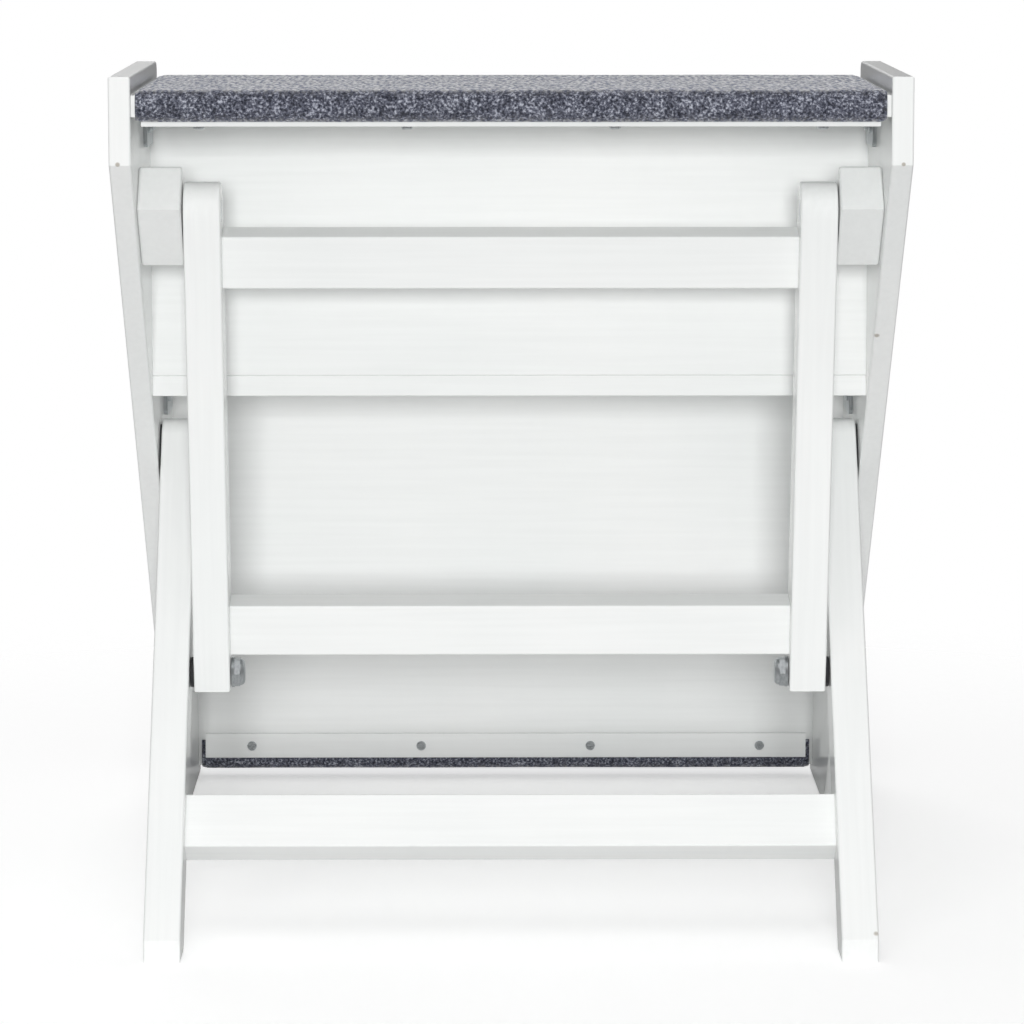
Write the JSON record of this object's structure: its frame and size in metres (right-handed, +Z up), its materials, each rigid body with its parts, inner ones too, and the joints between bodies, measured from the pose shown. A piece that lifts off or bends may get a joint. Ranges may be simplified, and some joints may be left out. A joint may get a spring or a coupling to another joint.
{
  "type": "pet stairs",
  "caption": "Free-standing wooden pet stairs with stepped side panels, a felt runner over the steps, and a hinged leg and support frame behind.",
  "frame": {"origin": "on the floor under the middle of the stairs' outline, feet at z = 0", "axes": "+Z up, the climbing side faces -Y, the high end is at +Y, +X across the width"},
  "size_m": [0.4, 0.54, 0.452],
  "materials": {
    "painted_wood": "white satin lacquer on pine and board",
    "felt": "needle felt carpet in blue-grey heather",
    "bright_steel": "pan-head screws, bright",
    "zinc_steel": "zinc-plated",
    "bare_wood": "beech dowel, unfinished",
    "dark_plastic": "nylon spacing washer"
  },
  "bodies": {
    "stairs": {"side_panel_left": "painted_wood", "side_panel_right": "painted_wood", "tread_top": "painted_wood", "tread_middle": "painted_wood", "tread_bottom": "painted_wood", "riser_upper": "painted_wood", "riser_middle": "painted_wood", "riser_lower": "painted_wood", "felt_runner": "felt", "clamp_batten_top": "painted_wood", "clamp_batten_low": "painted_wood", "batten_screws": "bright_steel", "corner_brackets": "zinc_steel", "bracket_screws": "zinc_steel", "pivot_block_left": "painted_wood", "pivot_block_right": "painted_wood", "leg_pivot_pins": "zinc_steel", "leg_pivot_washers": "dark_plastic", "support_pivot_pins": "zinc_steel"},
    "leg_frame": {"leg_left": "painted_wood", "leg_right": "painted_wood", "leg_rail": "painted_wood", "leg_dowels": "bare_wood", "brace_screws": "zinc_steel"},
    "support_frame": {"support_upright_left": "painted_wood", "support_upright_right": "painted_wood", "support_rail_upper": "painted_wood", "support_rail_lower": "painted_wood", "support_dowels": "bare_wood", "brace_cap_nuts": "zinc_steel", "brace_washers": "dark_plastic"}
  },
  "joints": [
    {"name": "leg_fold", "type": "hinge", "parent": "stairs", "child": "leg_frame", "pos_m": [0, 0.065, 0.243], "axis": [-1, 0, 0], "range_deg": [0, 66]},
    {"name": "support_fold", "type": "hinge", "parent": "stairs", "child": "support_frame", "pos_m": [0, 0.207, 0.381], "axis": [-1, 0, 0], "range_deg": [0, 12.01]}
  ],
  "couplings": [
    {"joint": "support_fold", "follows": "leg_fold", "ratio": 0.1818}
  ]
}
